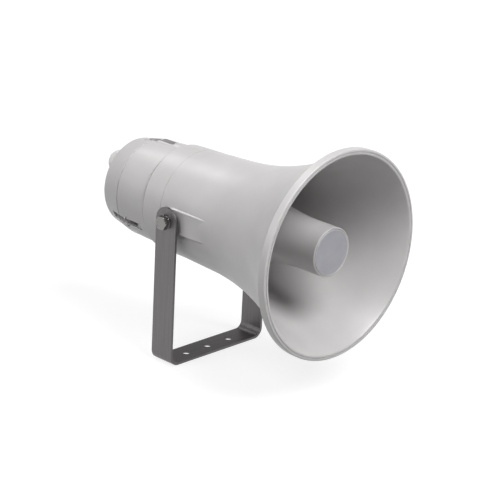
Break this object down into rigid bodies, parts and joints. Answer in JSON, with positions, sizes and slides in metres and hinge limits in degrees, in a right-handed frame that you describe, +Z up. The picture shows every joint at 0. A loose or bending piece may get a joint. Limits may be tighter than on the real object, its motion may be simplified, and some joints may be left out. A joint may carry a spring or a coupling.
{
  "type": "horn_loudspeaker",
  "caption": "Round grey plastic public-address horn loudspeaker with a wide flared mouth, closed centre tube, rear cap with cable gland, on a steel U bracket that tilts.",
  "frame": {"origin": "centre of the middle base hole, on the underside of the bracket", "axes": "+Z up from the mounting face to the pivot, mouth faces -Y, cable gland faces +Y, the pivot axis is along X"},
  "size_m": [0.208, 0.3138, 0.254],
  "materials": {
    "stainless": "satin",
    "housing_abs": "satin",
    "plate_silver": "satin",
    "black_rubber": "matte",
    "cast_alloy": "cast",
    "black_plastic": "matte",
    "amber_film": "gloss",
    "copper_wire": "gloss",
    "zinc_steel": "satin",
    "ferrite": "matte",
    "dark_steel": "satin",
    "gland_nylon": "satin",
    "lamination": "satin",
    "white_block": "gloss",
    "brass": "satin",
    "bolt_steel": "polished"
  },
  "bodies": {
    "bracket": {"u_bracket": "stainless"},
    "horn": {"horn_bell": "housing_abs", "reflector_tube": "housing_abs", "centre_disc": "plate_silver", "throat_horn": "housing_abs", "throat_gasket": "black_rubber", "driver_adapter": "cast_alloy", "phase_plug": "black_plastic", "diaphragm": "amber_film", "voice_coil": "copper_wire", "top_plate": "zinc_steel", "ring_magnet": "ferrite", "back_plate": "zinc_steel", "driver_screws": "zinc_steel", "rear_housing": "housing_abs", "housing_seal": "black_rubber", "housing_screws": "dark_steel", "reflector_screws": "zinc_steel", "rear_cap": "housing_abs", "cap_seal": "black_rubber", "cap_screws": "dark_steel", "gland_body": "gland_nylon", "gland_locknut": "gland_nylon", "gland_nut": "gland_nylon", "gland_seal": "black_rubber", "transformer_core": "lamination", "transformer_coil": "copper_wire", "transformer_clips": "zinc_steel", "clip_screws": "zinc_steel", "terminal_block": "white_block", "terminal_screws": "brass", "pivot_bolt_left": "bolt_steel", "spring_washer_left": "dark_steel", "friction_washer_left": "black_plastic", "threaded_insert_left": "brass", "pivot_bolt_right": "bolt_steel", "spring_washer_right": "dark_steel", "friction_washer_right": "black_plastic", "threaded_insert_right": "brass"}
  },
  "joints": [
    {"name": "horn_tilt", "type": "hinge", "parent": "bracket", "child": "horn", "pos_m": [0, 0, 0.15], "axis": [1, 0, 0], "range_deg": [-231, 51]}
  ]
}
